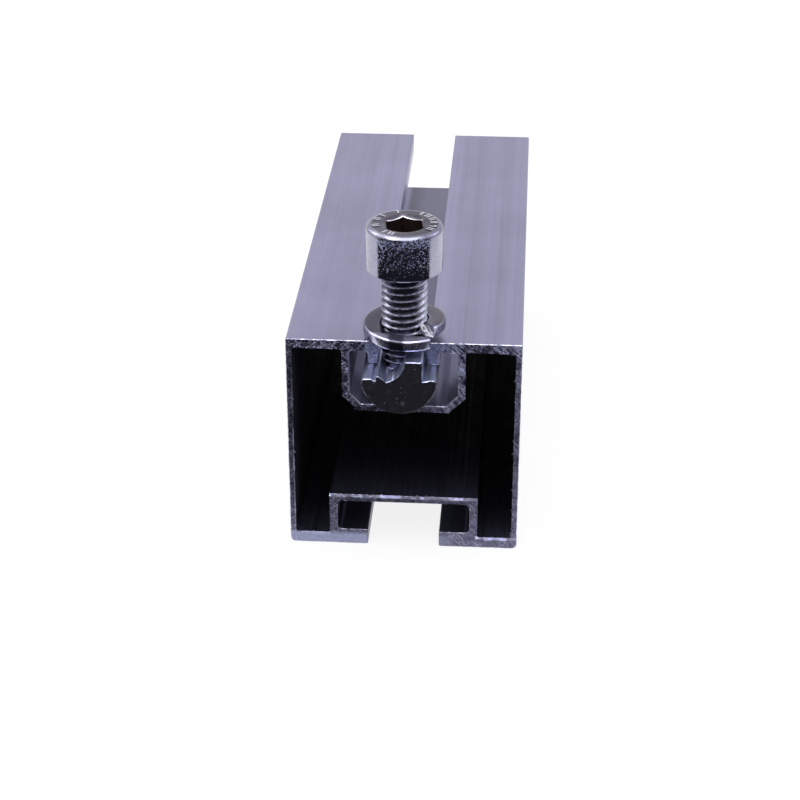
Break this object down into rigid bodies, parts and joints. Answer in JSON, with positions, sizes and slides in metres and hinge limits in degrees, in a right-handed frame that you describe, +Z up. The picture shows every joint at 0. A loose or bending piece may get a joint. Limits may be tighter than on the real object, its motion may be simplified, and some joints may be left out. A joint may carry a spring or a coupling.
{
  "type": "solar mounting rail",
  "caption": "Square extruded aluminium mounting rail with a nut channel on top, a bolt channel below, a sliding slot nut, an upright socket-head cap screw and a loose spring washer.",
  "frame": {"origin": "middle of the rail's length, on the plane of its underside, on the centre line of the foot slot", "axes": "+X across the rail, +Y along it away from the end that holds the screw, +Z up out of the nut slot"},
  "size_m": [0.04, 0.1056, 0.0606],
  "materials": {
    "mill_aluminium": "satin extruded, sawn ends",
    "nut_aluminium": "satin extruded, dark smooth ends",
    "stainless_screw": "bright stainless, pressed head",
    "stainless_washer": "bright stainless, rolled bar"
  },
  "bodies": {
    "rail_body": {"rail": "mill_aluminium"},
    "nut_body": {"channel_nut": "nut_aluminium"},
    "washer_body": {"lock_washer": "stainless_washer"},
    "screw_body": {"cap_screw": "stainless_screw"}
  },
  "joints": [
    {"name": "set_slide", "type": "slide", "parent": "rail_body", "child": "nut_body", "axis": [0, 1, 0], "range_m": [0, 0.0952]},
    {"name": "screw_turn", "type": "hinge", "parent": "nut_body", "child": "washer_body", "pos_m": [0, -0.0476, 0.0421], "axis": [0, 0, 1], "range_deg": [0, 1800]},
    {"name": "screw_advance", "type": "slide", "parent": "washer_body", "child": "screw_body", "axis": [0, 0, 1], "range_m": [0, 0.00625]}
  ],
  "couplings": [
    {"joint": "screw_advance", "follows": "screw_turn", "m_per_rad": 0.00019894}
  ]
}
